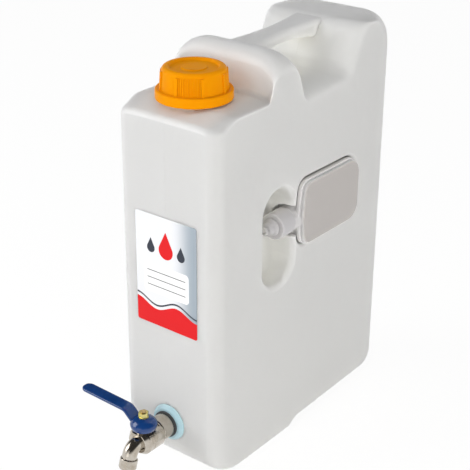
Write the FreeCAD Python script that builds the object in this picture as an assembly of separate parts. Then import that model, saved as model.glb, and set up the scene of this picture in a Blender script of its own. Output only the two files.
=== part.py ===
import FreeCAD
import Part
import math
import os

# Hand-wash water canister: a blow-moulded body with a ball-valve tap and a soap bottle in its side.
# Millimetres. The origin is the middle of the base, +Z is up and the tap points along -Y.

# Canister body; set-backs run from the front face, rises and falls from the deck
body_width = 116.0
body_depth = 280.0
wall = 2.2
corner_radius = 14.0
base_front_radius = 30.0
base_front_rise = 1.5
heel_setback = 45.0
base_rear_radius = 16.0
foot_edge_radius = 5.0
foot_length = 120.0
foot_step = 7.0
foot_step_run = 14.0
foot_step_start = 30.0
foot_step_width = 14.0
shoulder_width = 30.0
deck_height = 364.5
deck_edge_fall = 8.0
deck_edge_radius = 7.0
deck_edge_drop = 7.0
bevel_run = 27.0
bevel_radius = 24.0
bevel_drop = 4.5
hump_setback = 81.0
hump_foot_radius = 5.0
hump_foot_drop = 4.0
hump_foot_run = 6.0
hump_brow_rise = 39.5
hump_brow_drop = 19.5
hump_brow_radius = 14.0
hump_crest_run = 24.0
hump_crest_rise = 37.5
hump_crest_drop = 19.5
hump_crest_radius = 12.0
hump_brow_lead = 3.0
hump_lean = 8.0
hump_rear_run = 14.0
valley_length = 68.0
valley_fall = 2.0
valley_radius = 16.0
valley_drop = 18.0
rear_run = 18.0
rear_rise = 41.0
rear_lean = 18.0
rear_brow_drop = 4.0
rear_narrowing = 23.0
rear_crown_run = 45.0
rear_crown_rise = 0.6
rear_crown_drop = 7.0
rear_crown_radius = 14.0
rear_radius = 17.0
rear_drop = 46.0
rear_base_rise = 4.0
skim = 0.2
loft_steps = 12
flat_steps = 4

# Handle between the humps
handle_half_width = 14.0
handle_dip = 1.0
handle_slope = 4.5
handle_underside = 15.5
handle_edge_radius = 5.0
handle_flare = 5.0
handle_front_lap = 10.0
handle_rear_lap = 12.0
handle_flare_run = 22.0

# Filling neck and its screw cap
neck_setback = 42.0
neck_radius = 24.5
neck_bore = 20.5
neck_height = 23.1
neck_base_lap = 8.0
thread_pitch = 6.0
thread_height = 1.6
thread_root_width = 2.4
thread_crest_width = 1.5
thread_turns = 1.5
cap_thread_turns = 1.25
thread_end = 2.0
thread_gap = 0.5
cap_wall = 3.6
cap_top_thickness = 3.0
cap_taper = 1.4
cap_shoulder_radius = 4.0
cap_flange_radius = 35.0
cap_flange_height = 9.0
cap_edge = 1.6
cap_deck_gap = 1.2
cap_rim_height = 2.2
cap_rim_width = 6.0
cap_disc_radius = 11.0
cap_disc_height = 1.0
cap_panels = 8
cap_bar_width = 2.8
cap_bar_height = 1.5
cap_ribs = 10
cap_rib_width = 1.0
cap_rib_height = 0.8
cap_grip_turn = 9.0
gasket_thickness = 2.0

# Label on the front face
label_width = 72.6
label_height = 113.0
label_bottom = 149.5
label_thickness = 0.3
label_corner = 2.0

# Tap fitting in the front wall
tap_height = 46.5
tail_radius = 10.4
tail_length = 24.0
fit_gap = 0.2
outer_gasket_radius = 18.8
outer_gasket_thickness = 4.5
outer_gasket_lip = 1.2
outer_gasket_step = 3.0
outer_gasket_edge = 1.6
rubber_radius = 13.4
rubber_thickness = 2.0
inner_gasket_thickness = 2.5
inner_gasket_radius = 17.0
locknut_flats = 28.0
locknut_thickness = 7.0

# Ball valve
inlet_length = 13.5
inlet_radius = 12.2
inlet_edge = 1.0
groove_width = 1.2
groove_depth = 1.0
body_radius = 14.0
body_nose_radius = 10.5
body_nose_length = 4.5
body_nose_wall = 1.75
pad_wall = 1.7
seat_back = 1.75
ball_radius = 6.6
ball_gap = 0.35
flow_radius = 4.0
seat_width = 2.0
socket_radius = 10.2
socket_depth = 5.0
bonnet_radius = 8.0
gland_entry = 1.25
stem_radius = 3.0
stem_flange_radius = 4.2
stem_flange_height = 1.4
stem_gap = 0.35
tang_width = 2.6
tang_depth = 2.2
packing_radius = 5.4
packing_thickness = 2.4
stem_washer_thickness = 1.0
gland_flats = 14.0
gland_height = 4.0
spout_radius = 7.2
spout_wall = 2.4
spout_bend = 11.0
spout_turn = 72.0
spout_straight = 12.0
collar_radius = 8.6
collar_height = 9.0
collar_lip = 2.0

# Lever on the valve stem
hub_radius = 13.6
hub_rim_radius = 12.0
hub_brow_radius = 10.4
hub_brow_drop = 2.6
hub_brow_bend = 9.0
hub_top_radius = 5.6
hub_head_gap = 1.4
hub_clearance = 1.1
hub_belly = 4.8
hub_belly_bend = 4.4
hub_roof = 4.8
hub_lift = 3.6
lever_length = 77.5
lever_width = 13.5
lever_tip_flat = 0.4
lever_thickness = 3.2
lever_bend_radius = 8.4
lever_root_x = 9.0
lever_root_drop = 7.4
lever_bend_x = 20.0
lever_bend_rise = 2.3
lever_tip_rise = 3.8
nut_flats = 8.6
nut_height = 4.2
lever_washer_radius = 4.9
lever_washer_thickness = 0.9
stem_end = 1.0

# Soap bottle and the recess that holds it
soap_setback = 127.0
soap_length = 95.5
soap_bottom = 205.5
soap_height = 67.0
soap_thickness = 33.0
soap_proud = 6.0
soap_bow = 4.0
soap_front_corner = 12.0
soap_rear_corner = 18.0
soap_edge = 5.0
soap_flange = 4.0
soap_flange_step = 1.6
soap_face_height = 4.0
soap_face_step = 2.0
soap_face_edge = 1.4
soap_wall = 1.5
soap_clearance = 0.6
soap_neck_z = 233.5
soap_neck_depth = 10.0
soap_neck_radius = 9.4
soap_neck_bore = 7.0
soap_shoulder_radius = 14.0
soap_shoulder_length = 9.0
soap_neck_length = 17.0
soap_pitch = 3.0
soap_thread_height = 1.0
soap_thread_root = 1.1
soap_thread_crest = 0.6
soap_thread_turns = 1.0
soap_thread_gap = 0.5
soap_thread_end = 1.5
soap_cap_wall = 2.3
soap_cap_gap = 1.0
soap_cap_top = 2.5
soap_cap_edge = 1.2
soap_liner_thickness = 1.2

# Push-pull nozzle of the soap cap
chimney_radius = 4.8
chimney_wall = 1.3
chimney_length = 9.5
post_radius = 1.6
nozzle_gap = 0.4
nozzle_length = 14.2
nozzle_base_radius = 8.4
nozzle_tip_radius = 5.6
nozzle_tip_wall = 2.0
feed_holes = 3
feed_radius = 0.6

# Finger pocket beside the soap bottle
pocket_setback = 72.0
pocket_width = 46.0
pocket_bottom = 175.5
pocket_height = 98.0
pocket_end_flat = 0.3
pocket_depth = 30.0
pocket_rim = 4.0
pocket_floor_edge = 9.0
pocket_draft = 0.1
recess_rim = 2.6
recess_floor_edge = 5.0
rim_sweep = 65.0
channel_clearance = 3.0
saddle_lap = 10.0

# Worked-out places
half_width = body_width / 2
front_y = -body_depth / 2
rear_y = body_depth / 2
foot_end_y = front_y + foot_length
hump_foot_y = front_y + hump_setback
hump_brow_y = hump_foot_y + hump_foot_run
hump_crest_y = hump_brow_y + hump_crest_run
valley_front_y = hump_crest_y + hump_rear_run
valley_rear_y = valley_front_y + valley_length
rear_brow_y = valley_rear_y + rear_run
rear_crown_y = rear_brow_y + rear_crown_run
rear_height = deck_height + rear_rise
neck_y = front_y + neck_setback
soap_front_y = front_y + soap_setback
soap_rear_y = soap_front_y + soap_length
pocket_front_y = front_y + pocket_setback
pocket_rear_y = pocket_front_y + pocket_width
pocket_top = pocket_bottom + pocket_height
Vector = FreeCAD.Vector
up = Vector(0, 0, 1)


def grown(corners, distance):
    """Outline with every side moved outwards by a distance; a minus distance moves them inwards."""
    count = len(corners)
    area = 0.0
    for index in range(count):
        u0, v0, _ = corners[index - 1]
        u1, v1, _ = corners[index]
        area += u0 * v1 - u1 * v0
    turn = 1.0 if area > 0 else -1.0
    result = []
    for index in range(count):
        u0, v0, _ = corners[index - 1]
        u1, v1, radius = corners[index]
        u2, v2, _ = corners[(index + 1) % count]
        first = Vector(v1 - v0, u0 - u1, 0).normalize() * turn
        second = Vector(v2 - v1, u1 - u2, 0).normalize() * turn
        shift = (first + second) * (distance / (1 + first.dot(second)))
        convex = turn * ((u1 - u0) * (v2 - v1) - (v1 - v0) * (u2 - u1)) > 0
        bend = radius + distance if convex else radius - distance
        result.append((u1 + shift.x, v1 + shift.y, bend if radius > 0 else 0.0))
    return result


def rounded_wire(corners, place):
    """Closed wire of straight runs with each corner rounded to its own radius."""
    count = len(corners)
    spans = []
    for index in range(count):
        u, v, radius = corners[index]
        here = Vector(u, v, 0)
        before = Vector(*corners[index - 1][:2], 0) - here
        after = Vector(*corners[(index + 1) % count][:2], 0) - here
        before.normalize()
        after.normalize()
        half = before.getAngle(after) / 2
        reach = radius / math.tan(half)
        middle = here
        if radius > 0:
            middle = here + (before + after).normalize() * (radius / math.sin(half) - radius)
        spans.append((here + before * reach, middle, here + after * reach))
    edges = []
    for index in range(count):
        start, middle, end = spans[index]
        if corners[index][2] > 0:
            edges.append(Part.Arc(place(start), place(middle), place(end)).toShape())
        following = spans[(index + 1) % count][0]
        if end.distanceToPoint(following) > 1e-6:
            edges.append(Part.LineSegment(place(end), place(following)).toShape())
    return Part.Wire(edges)


def turned(corners, base, axis):
    """Solid of revolution from an outline of (radius, height, rounding) about an axis from its base."""
    side = Vector(1, 0, 0)

    def place(point):
        return base + side * point.x + axis * point.y
    face = Part.Face(rounded_wire(corners, place))
    return face.revolve(base, axis, 360)


def tube(outer, inner, base, axis, length):
    """Plain ring or sleeve."""
    return turned([(inner, 0, 0), (outer, 0, 0), (outer, length, 0), (inner, length, 0)], base, axis)


def hexagon(flats, base, axis, length):
    """Hexagon bar whose size is the distance across its flats."""
    radius = flats / math.sqrt(3)
    side = Vector(1, 0, 0)
    other = axis.cross(side)
    points = []
    for index in range(7):
        angle = math.radians(60 * index)
        points.append(base + side * (radius * math.cos(angle)) + other * (radius * math.sin(angle)))
    return Part.Face(Part.makePolygon(points)).extrude(axis * length)


def thread_ridge(radius, height, root, crest, pitch, turns, lap):
    """Helical ridge about +Z from z = 0; a minus height points inwards."""
    helix = Part.makeLongHelix(pitch, pitch * turns, radius)
    sign = 1 if height > 0 else -1
    points = [
        Vector(radius - sign * lap, 0, -root / 2),
        Vector(radius + height, 0, -crest / 2),
        Vector(radius + height, 0, crest / 2),
        Vector(radius - sign * lap, 0, root / 2),
    ]
    profile = Part.makePolygon(points + points[:1])
    return Part.Wire(helix).makePipeShell([profile], True, True)


def roll(x, half, width, depth):
    """Drop of a rounded edge at x: a quarter ellipse over the outermost width."""
    reach = abs(x) - (half - width)
    if reach <= 0:
        return 0.0
    share = min(reach / width, 1.0)
    return depth * (1 - math.sqrt(1 - share * share))


def side_wire(x, inset):
    """Side outline of the canister at a distance x from its middle plane."""
    half = half_width - inset
    corner = roll(x, half, corner_radius - inset, corner_radius - inset)
    base = roll(x, half, foot_edge_radius - inset, foot_edge_radius - inset) - skim
    share = roll(x, half, shoulder_width - inset, 1.0)
    ramp = min(max((abs(x) - foot_step_start) / foot_step_width, 0.0), 1.0)
    step = base + foot_step * ramp * ramp * (3 - 2 * ramp)

    def top(y, rise, drop, shift, radius):
        return (y + shift * share, deck_height + rise - (drop - inset) * share, radius)
    front = front_y - skim + corner
    rear = rear_y + skim - corner
    corners = [
        (front, base + base_front_rise * share, base_front_radius),
        top(front, -deck_edge_fall, deck_edge_drop, 0.0, deck_edge_radius),
        top(front_y + bevel_run, 0.0, bevel_drop, 0.0, bevel_radius),
        top(hump_foot_y, 0.0, hump_foot_drop, -hump_foot_radius, hump_foot_radius),
        top(hump_brow_y, hump_brow_rise, hump_brow_drop, -hump_brow_lead, hump_brow_radius),
        top(hump_crest_y, hump_crest_rise, hump_crest_drop, hump_lean, hump_crest_radius),
        top(valley_front_y, -valley_fall, valley_drop, hump_lean, valley_radius),
        top(valley_rear_y, -valley_fall, valley_drop / 2, rear_lean, valley_radius),
        top(rear_brow_y, rear_rise, rear_brow_drop, rear_narrowing, rear_radius),
        top(rear_crown_y, rear_rise + rear_crown_rise, rear_crown_drop, 0.0, rear_crown_radius),
        top(rear, rear_rise, rear_drop, 0.0, rear_radius),
        (rear, step + rear_base_rise * share, base_rear_radius),
        (foot_end_y + foot_step_run, step, 0.0),
        (foot_end_y, base, 0.0),
        (front_y + heel_setback, base, 0.0),
    ]

    def place(point):
        return Vector(x, point.x, point.y)
    return rounded_wire(grown(corners, -inset), place)


def canister_form(inset):
    """Closed form of the canister, drawn in by an inset and skimmed flat in front, behind and below."""
    half = half_width - inset
    flat = half_width - shoulder_width
    turns = [math.pi / 2 * step / loft_steps for step in range(loft_steps + 1)]
    reaches = [flat + (half - flat) * math.sin(turn) for turn in turns]
    reaches = [flat * step / flat_steps for step in range(1, flat_steps)] + reaches
    stations = [-x for x in reversed(reaches)] + [0.0] + reaches
    form = Part.makeLoft([side_wire(x, inset) for x in stations], True, False)
    corner = Vector(-body_width, front_y + inset, inset)
    return form.common(Part.makeBox(2 * body_width, body_depth - 2 * inset, 2 * rear_height, corner))


def handle_form(inset):
    """Carrying bar with flared ends that run into the humps."""
    handle_front_y = hump_crest_y - handle_front_lap
    handle_rear_y = rear_brow_y + handle_rear_lap
    rear_top = rear_height - handle_dip
    underside = rear_height - handle_underside
    runs = [
        (handle_front_y, handle_flare),
        (handle_front_y + handle_flare_run, handle_flare / 2),
        (handle_front_y + 2 * handle_flare_run, 0.0),
        (handle_rear_y - 2 * handle_flare_run, 0.0),
        (handle_rear_y - handle_flare_run, handle_flare / 2),
        (handle_rear_y, handle_flare),
    ]
    wires = []
    for y, flare in runs:
        side = handle_half_width + flare
        bottom = underside - flare
        top = rear_top - handle_slope * (handle_rear_y - y) / (handle_rear_y - handle_front_y)
        corners = [
            (-side, bottom, handle_edge_radius),
            (side, bottom, handle_edge_radius),
            (side, top, handle_edge_radius),
            (-side, top, handle_edge_radius),
        ]

        def place(point):
            return Vector(point.x, y, point.y)
        wires.append(rounded_wire(grown(corners, -inset), place))
    return Part.makeLoft(wires, True, False)


def side_stack(corners, levels):
    """Solid along X through outlines in the side plane, each level an (x, growth)."""
    wires = []
    for x, growth in levels:

        def place(point):
            return Vector(x, point.x, point.y)
        wires.append(rounded_wire(grown(corners, growth), place))
    return Part.makeLoft(wires, True, len(levels) == 2)


def quarter(x0, growth0, x1, growth1, flat_start, sweep=90):
    """Levels along a quarter ellipse; flat_start says which end lies along the outline's plane."""
    steps = 4
    levels = []
    for step in range(steps + 1):
        angle = math.radians(sweep * step / steps)
        across = math.sin(angle) if flat_start else 1 - math.cos(angle)
        along = 1 - math.cos(angle) if flat_start else math.sin(angle)
        levels.append((x0 + (x1 - x0) * along, growth0 + (growth1 - growth0) * across))
    return levels


def dish(corners, depth, rim_edge, floor_edge, draft, inset):
    """Tool for a recess in the +X wall with a rounded rim, sides that lean inwards and a rounded floor."""
    surface = half_width - inset
    floor = half_width - depth - inset
    rim = rim_edge + wall - inset
    foot = floor_edge + inset
    lean = draft * (surface - rim - floor - foot)
    sides = grown(corners, inset)
    rim_levels = quarter(surface - rim, 0.0, surface, rim, False, rim_sweep)
    rim_x, rim_growth = rim_levels[-1]
    lip = surface + wall
    lip_growth = rim_growth + (lip - rim_x) * math.tan(math.radians(rim_sweep))
    pieces = [
        side_stack(sides, quarter(floor, -foot - lean, floor + foot, -lean, True)),
        side_stack(sides, [(floor + foot, -lean), (surface - rim, 0.0)]),
        side_stack(sides, rim_levels),
        side_stack(sides, [(rim_x, rim_growth), (lip, lip_growth)]),
    ]
    return pieces[0].fuse(pieces[1:])


soap_corners = [
    (soap_front_y, soap_bottom, soap_front_corner),
    (soap_rear_y, soap_bottom, soap_rear_corner),
    (soap_rear_y, soap_bottom + soap_height, soap_rear_corner),
    (soap_front_y, soap_bottom + soap_height, soap_front_corner),
    (soap_front_y - soap_bow, soap_bottom + soap_height / 2, soap_height),
]
soap_neck_x = half_width - soap_neck_depth
soap_axis = Vector(0, -1, 0)
soap_cap_inner = soap_neck_radius + soap_thread_height + soap_thread_gap
soap_cap_radius = soap_cap_inner + soap_cap_wall


def recess_tools(inset):
    """Recess for the soap bottle, finger pocket beside it and a round saddle for the neck between them."""
    bottle = grown(soap_corners, soap_clearance)
    bottle_depth = soap_thickness - soap_proud + soap_clearance
    pocket_corner = pocket_width / 2 - pocket_end_flat
    pocket = [
        (pocket_front_y, pocket_bottom, pocket_corner),
        (pocket_rear_y, pocket_bottom, pocket_corner),
        (pocket_rear_y, pocket_top, pocket_corner),
        (pocket_front_y, pocket_top, pocket_corner),
    ]
    reach = soap_cap_radius + channel_clearance + inset
    start = Vector(soap_neck_x, pocket_rear_y - saddle_lap, soap_neck_z)
    length = soap_front_y - pocket_rear_y + 2 * saddle_lap
    saddle = Part.makeCylinder(reach, length, start, Vector(0, 1, 0))
    mouth = Part.makeBox(body_width, length, 2 * reach, start - up * reach)
    return [
        dish(bottle, bottle_depth, recess_rim, recess_floor_edge, 0.0, inset),
        dish(pocket, pocket_depth, pocket_rim, pocket_floor_edge, pocket_draft, inset),
        saddle.fuse(mouth),
    ]


neck_base = Vector(0, neck_y, deck_height)
cap_inner = neck_radius + thread_height + thread_gap
thread_start = deck_height + neck_height - thread_end - thread_pitch * thread_turns
tap_axis = Vector(0, -1, 0)
hole_radius = tail_radius + fit_gap


def canister_shell():
    """Hollow body with its neck, handle, tap hole and side recess."""
    outer = canister_form(0.0).fuse(handle_form(0.0))
    inner = canister_form(wall).fuse(handle_form(wall))
    for tool in recess_tools(0.0):
        outer = outer.cut(tool)
    for tool in recess_tools(wall):
        inner = inner.cut(tool)
    shell = outer.cut(inner)
    neck = Part.makeCylinder(neck_radius, neck_height + neck_base_lap, neck_base - up * neck_base_lap)
    ridge = thread_ridge(neck_radius, thread_height, thread_root_width, thread_crest_width,
                         thread_pitch, thread_turns, thread_gap)
    ridge.translate(Vector(0, neck_y, thread_start))
    bore = Part.makeCylinder(neck_bore, neck_height + 4 * neck_base_lap, neck_base - up * 2 * neck_base_lap)
    hole = Part.makeCylinder(hole_radius, 4 * wall, Vector(0, front_y - wall, tap_height), Vector(0, 1, 0))
    return shell.fuse([neck, ridge]).cut([bore, hole])


def front_label():
    """Thin sticker that lies on the front face."""
    side = label_width / 2
    corners = [
        (-side, label_bottom, label_corner),
        (side, label_bottom, label_corner),
        (side, label_bottom + label_height, label_corner),
        (-side, label_bottom + label_height, label_corner),
    ]

    def place(point):
        return Vector(point.x, front_y, point.y)
    return Part.Face(rounded_wire(corners, place)).extrude(Vector(0, -label_thickness, 0))


cap_bottom = deck_height + cap_deck_gap
neck_top = deck_height + neck_height
cap_inner_top = neck_top + gasket_thickness
cap_height = cap_inner_top + cap_top_thickness + cap_rim_height - cap_bottom
cap_base = Vector(0, neck_y, cap_bottom)
cap_outer = cap_inner + cap_wall


def cap_ridge(angle, width, height):
    """Upright rib on the cap's side at an angle round it."""
    low = cap_flange_height - cap_edge
    high = cap_height - cap_shoulder_radius
    slope = cap_taper * (high - low) / (cap_height - low)
    points = [
        Vector(cap_outer - cap_wall / 2 - slope, -width / 2, low),
        Vector(cap_outer + height, -width / 2, low),
        Vector(cap_outer + height - slope, -width / 2, high),
        Vector(cap_outer - cap_wall / 2 - slope, -width / 2, high),
    ]
    rib = Part.Face(Part.makePolygon(points + points[:1])).extrude(Vector(0, width, 0))
    rib.rotate(Vector(0, 0, 0), up, angle + cap_grip_turn)
    rib.translate(cap_base)
    return rib


def screw_cap():
    """Cap with a skirt flange, upright bars, panels of fine ribs, a sunk top and an inner thread."""
    top = cap_height - cap_rim_height
    inside = cap_inner_top - cap_bottom
    shoulder = cap_outer - cap_taper
    blank = turned([
        (cap_inner, 0, cap_edge / 2),
        (cap_flange_radius, 0, cap_edge / 2),
        (cap_flange_radius, cap_flange_height, cap_edge),
        (cap_outer, cap_flange_height, cap_edge / 2),
        (shoulder, cap_height, cap_shoulder_radius),
        (shoulder - cap_rim_width, cap_height, cap_edge / 2),
        (shoulder - cap_rim_width - cap_edge, top, cap_edge / 2),
        (cap_disc_radius + cap_edge / 2, top, cap_edge / 4),
        (cap_disc_radius, top + cap_disc_height, cap_edge / 4),
        (0, top + cap_disc_height, 0),
        (0, inside, 0),
        (cap_inner, inside, cap_edge / 2),
    ], cap_base, up)
    ribs = []
    panel = 360 / cap_panels
    for index in range(cap_panels):
        ribs.append(cap_ridge(panel * index, cap_bar_width, cap_bar_height))
        if index % 2 == 0:
            for rib in range(1, cap_ribs + 1):
                ribs.append(cap_ridge(panel * (index + rib / (cap_ribs + 1)), cap_rib_width, cap_rib_height))
    ridge = thread_ridge(cap_inner, -thread_height, thread_root_width, thread_crest_width,
                         thread_pitch, cap_thread_turns, thread_gap)
    ridge.translate(Vector(0, neck_y, thread_start - thread_pitch / 2))
    return blank.fuse(ribs + [ridge])


def cap_gasket():
    """Sealing disc between the rim of the neck and the top of the cap."""
    outer = cap_inner - cap_edge / 2 - fit_gap
    return tube(outer, neck_bore - wall, Vector(0, neck_y, neck_top), up, gasket_thickness)


# Places along the tap, measured outwards from the front face
seat_face = outer_gasket_thickness + rubber_thickness
body_start = seat_face + inlet_length + groove_width
cavity_radius = ball_radius + 2 * ball_gap
seat_reach = seat_width + ball_radius - ball_gap
ball_place = body_start + socket_depth + seat_back + seat_reach
body_end = ball_place + seat_reach + body_nose_wall
pad_height = cavity_radius + pad_wall
stem_y = front_y - ball_place


def tap_point(distance, height=0.0):
    """Point on the tap's middle plane at a distance out from the front face, above its axis."""
    return Vector(0, front_y - distance, tap_height + height)


# Heights on the valve stem, measured from the tap's axis
flange_bottom = ball_radius + ball_gap
flange_top = flange_bottom + stem_flange_height
packing_floor = flange_top + stem_washer_thickness
packing_base = packing_floor + stem_washer_thickness
gland_base = packing_base + packing_thickness
bonnet_height = gland_base + gland_entry
gland_top = bonnet_height + fit_gap + gland_height
hub_base = pad_height + hub_lift
hub_top = gland_top + hub_head_gap + hub_roof
hub_height = hub_top - hub_base
nut_base = hub_top + lever_washer_thickness
stem_top = nut_base + nut_height + stem_end
stem_base = tap_point(ball_place)


def tap_fittings():
    """Gaskets, washer and nut that clamp the tap in the wall."""
    inside = tap_point(-wall)
    nut_place = tap_point(-wall - inner_gasket_thickness)
    nut = hexagon(locknut_flats, nut_place, -tap_axis, locknut_thickness)
    nut = nut.cut(Part.makeCylinder(hole_radius, locknut_thickness, nut_place, -tap_axis))
    gasket = turned([
        (hole_radius, 0, 0),
        (outer_gasket_radius, 0, 0),
        (outer_gasket_radius, outer_gasket_lip, outer_gasket_edge / 2),
        (outer_gasket_radius - outer_gasket_step, outer_gasket_thickness, outer_gasket_edge),
        (hole_radius, outer_gasket_thickness, 0),
    ], tap_point(0), tap_axis)
    rubber_place = tap_point(outer_gasket_thickness)
    return {
        "tap_outer_gasket": gasket,
        "tap_rubber_washer": tube(rubber_radius, hole_radius, rubber_place, tap_axis, rubber_thickness),
        "tap_inner_gasket": tube(inner_gasket_radius, hole_radius, inside, -tap_axis, inner_gasket_thickness),
        "tap_locknut": nut,
    }


def tap_inlet():
    """Rear half: threaded tail, round shank, a groove and the spigot that fits the body."""
    shank_end = seat_face + inlet_length
    return turned([
        (flow_radius, seat_face - tail_length, 0),
        (tail_radius, seat_face - tail_length, inlet_edge),
        (tail_radius, seat_face, 0),
        (inlet_radius, seat_face, inlet_edge),
        (inlet_radius, shank_end, inlet_edge),
        (inlet_radius - groove_depth, shank_end, 0),
        (inlet_radius - groove_depth, body_start, 0),
        (socket_radius, body_start, 0),
        (socket_radius, body_start + socket_depth, 0),
        (flow_radius, body_start + socket_depth, 0),
    ], tap_point(0), tap_axis)


def spout_run(radius, spare):
    """Round bar along the spout: out of the body, round the bend and straight down to the outlet."""
    start = tap_point(body_end - spare)
    bend_start = tap_point(body_end)
    first = Part.makeCylinder(radius, spare, start, tap_axis)
    disc = Part.Face(Part.Wire(Part.makeCircle(radius, bend_start, tap_axis)))
    centre = bend_start - up * spout_bend
    bend = disc.revolve(centre, Vector(1, 0, 0), spout_turn)
    last = Part.makeCylinder(radius, spout_straight, spout_end_start, spout_axis)
    return first.fuse([bend, last])


turn = math.radians(spout_turn)
spout_axis = Vector(0, -math.cos(turn), -math.sin(turn))
spout_end_start = tap_point(body_end + spout_bend * math.sin(turn), spout_bend * (math.cos(turn) - 1))
spout_end = spout_end_start + spout_axis * spout_straight


def tap_body():
    """Front half: chamber for the ball, flat pad and bonnet for the stem, nose and bent spout."""
    shoulder = ball_place + seat_reach
    form = turned([
        (0, body_start, 0),
        (body_radius, body_start, inlet_edge),
        (body_radius, ball_place - groove_width, inlet_edge / 4),
        (body_radius - groove_depth / 2, ball_place - groove_width / 2, 0),
        (body_radius, ball_place, inlet_edge / 4),
        (body_radius, body_end - body_nose_length, inlet_edge * 2),
        (body_nose_radius, body_end, inlet_edge),
        (0, body_end, 0),
    ], tap_point(0), tap_axis)
    pad = Part.makeCylinder(body_radius + body_end, body_radius, stem_base + up * pad_height)
    bonnet = Part.makeCylinder(bonnet_radius, bonnet_height, stem_base)
    form = form.cut(pad).fuse([bonnet, spout_run(spout_radius, body_nose_length)])
    chamber = [
        Part.makeCylinder(socket_radius + fit_gap, socket_depth + fit_gap, tap_point(body_start), tap_axis),
        Part.makeCylinder(cavity_radius, shoulder - body_start, tap_point(body_start), tap_axis),
        spout_run(spout_radius - spout_wall, body_end - ball_place),
        Part.makeCylinder(stem_flange_radius + stem_gap, flange_top + fit_gap, stem_base),
        Part.makeCylinder(stem_radius + stem_gap, bonnet_height, stem_base),
        Part.makeCylinder(packing_radius + fit_gap, bonnet_height, stem_base + up * packing_floor),
    ]
    return form.cut(chamber)


def valve_pieces():
    """Ball, its two seats, and the stem with its washer, packing and gland."""
    ball = Part.makeSphere(ball_radius, stem_base)
    flow_start = stem_base - Vector(ball_radius, 0, 0)
    flow = Part.makeCylinder(flow_radius, 2 * ball_radius, flow_start, Vector(1, 0, 0))
    slot_width = tang_width + fit_gap
    slot = Part.makeBox(4 * ball_radius, slot_width, 2 * tang_depth)
    slot.translate(stem_base + Vector(-2 * ball_radius, -slot_width / 2, ball_radius - tang_depth))
    room = Part.makeSphere(ball_radius + ball_gap, stem_base)
    seat_radius = cavity_radius - fit_gap / 2
    rear_length = ball_place - body_start - socket_depth
    seat_start = stem_flange_radius + stem_gap
    rear_seat = tube(seat_radius, flow_radius, tap_point(ball_place - rear_length), tap_axis,
                     rear_length - seat_start)
    front_seat = tube(seat_radius, flow_radius, tap_point(ball_place + seat_start), tap_axis,
                      seat_reach - seat_start)
    tang_length = 2 * stem_flange_radius - stem_flange_height
    tang = Part.makeBox(tang_length, tang_width, tang_depth + ball_gap)
    tang.translate(stem_base + Vector(-tang_length / 2, -tang_width / 2, ball_radius - tang_depth + fit_gap))
    stem = Part.makeCylinder(stem_radius, stem_top - flange_bottom, stem_base + up * flange_bottom)
    flange = Part.makeCylinder(stem_flange_radius, stem_flange_height, stem_base + up * flange_bottom)
    stem_hole = stem_radius + stem_gap
    washer_place = stem_base + up * packing_floor
    gland = hexagon(gland_flats, stem_base + up * (bonnet_height + fit_gap), up, gland_height)
    spigot = Part.makeCylinder(packing_radius, gland_top - gland_base, stem_base + up * gland_base)
    gland = gland.fuse(spigot).cut(Part.makeCylinder(stem_hole, gland_top, stem_base))
    return {
        "valve_ball": ball.cut([flow, slot]),
        "seat_ring_rear": rear_seat.cut(room),
        "seat_ring_front": front_seat.cut(room),
        "valve_stem": stem.fuse([flange, tang]),
        "stem_washer": tube(packing_radius, stem_hole, washer_place, up, stem_washer_thickness),
        "stem_packing": tube(packing_radius, stem_hole, stem_base + up * packing_base, up, packing_thickness),
        "gland_nut": gland,
    }


def outlet_collar():
    """Ring on the end of the spout with an inner lip under the pipe."""
    base = spout_end + spout_axis * collar_lip
    bore = spout_radius + fit_gap
    length = collar_height + collar_lip
    return turned([
        (spout_radius - spout_wall, 0, 0),
        (collar_radius - inlet_edge, 0, inlet_edge),
        (collar_radius, collar_lip, inlet_edge),
        (collar_radius, length, inlet_edge),
        (bore, length, 0),
        (bore, collar_lip, 0),
        (spout_radius - spout_wall, collar_lip, 0),
    ], base, -spout_axis)


def lever_handle():
    """Domed hollow hub with a bent flat arm that has a round end."""
    bore = stem_radius
    inside = hub_height - hub_roof
    room = max(bonnet_radius, gland_flats / math.sqrt(3)) + hub_clearance
    hub = turned([
        (room, 0, 0),
        (hub_rim_radius, 0, inlet_edge),
        (hub_radius, hub_belly, hub_belly_bend),
        (hub_brow_radius, hub_height - hub_brow_drop, hub_brow_bend),
        (hub_top_radius, hub_height, inlet_edge),
        (bore, hub_height, 0),
        (bore, inside, 0),
        (room, inside, inlet_edge),
    ], stem_base + up * hub_base, up)
    half = lever_thickness / 2
    top = tap_height + hub_top
    line = [
        (-lever_root_x, top - lever_root_drop),
        (-lever_bend_x, top + lever_bend_rise),
        (-lever_length, top + lever_tip_rise),
    ]
    bends = [0, lever_bend_radius, 0]
    upper = [(x, z + half, bend) for (x, z), bend in zip(line, bends)]
    lower = [(x, z - half, max(bend - lever_thickness, 0)) for (x, z), bend in zip(reversed(line), bends)]

    def side(point):
        return Vector(point.x, stem_y - lever_width / 2, point.y)
    arm = Part.Face(rounded_wire(upper + lower, side)).extrude(Vector(0, lever_width, 0))
    tip_radius = lever_width / 2 - lever_tip_flat
    plan = [
        (0, -lever_width / 2, 0),
        (0, lever_width / 2, 0),
        (-lever_length, lever_width / 2, tip_radius),
        (-lever_length, -lever_width / 2, tip_radius),
    ]

    def flat(point):
        return Vector(point.x, stem_y + point.y, 0)
    arm = arm.common(Part.Face(rounded_wire(plan, flat)).extrude(up * (2 * tap_height + hub_top)))
    room_core = Part.makeCylinder(room, inside, stem_base + up * hub_base)
    return hub.fuse(arm).cut([room_core, Part.makeCylinder(bore, hub_top + nut_height, stem_base)])


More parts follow.
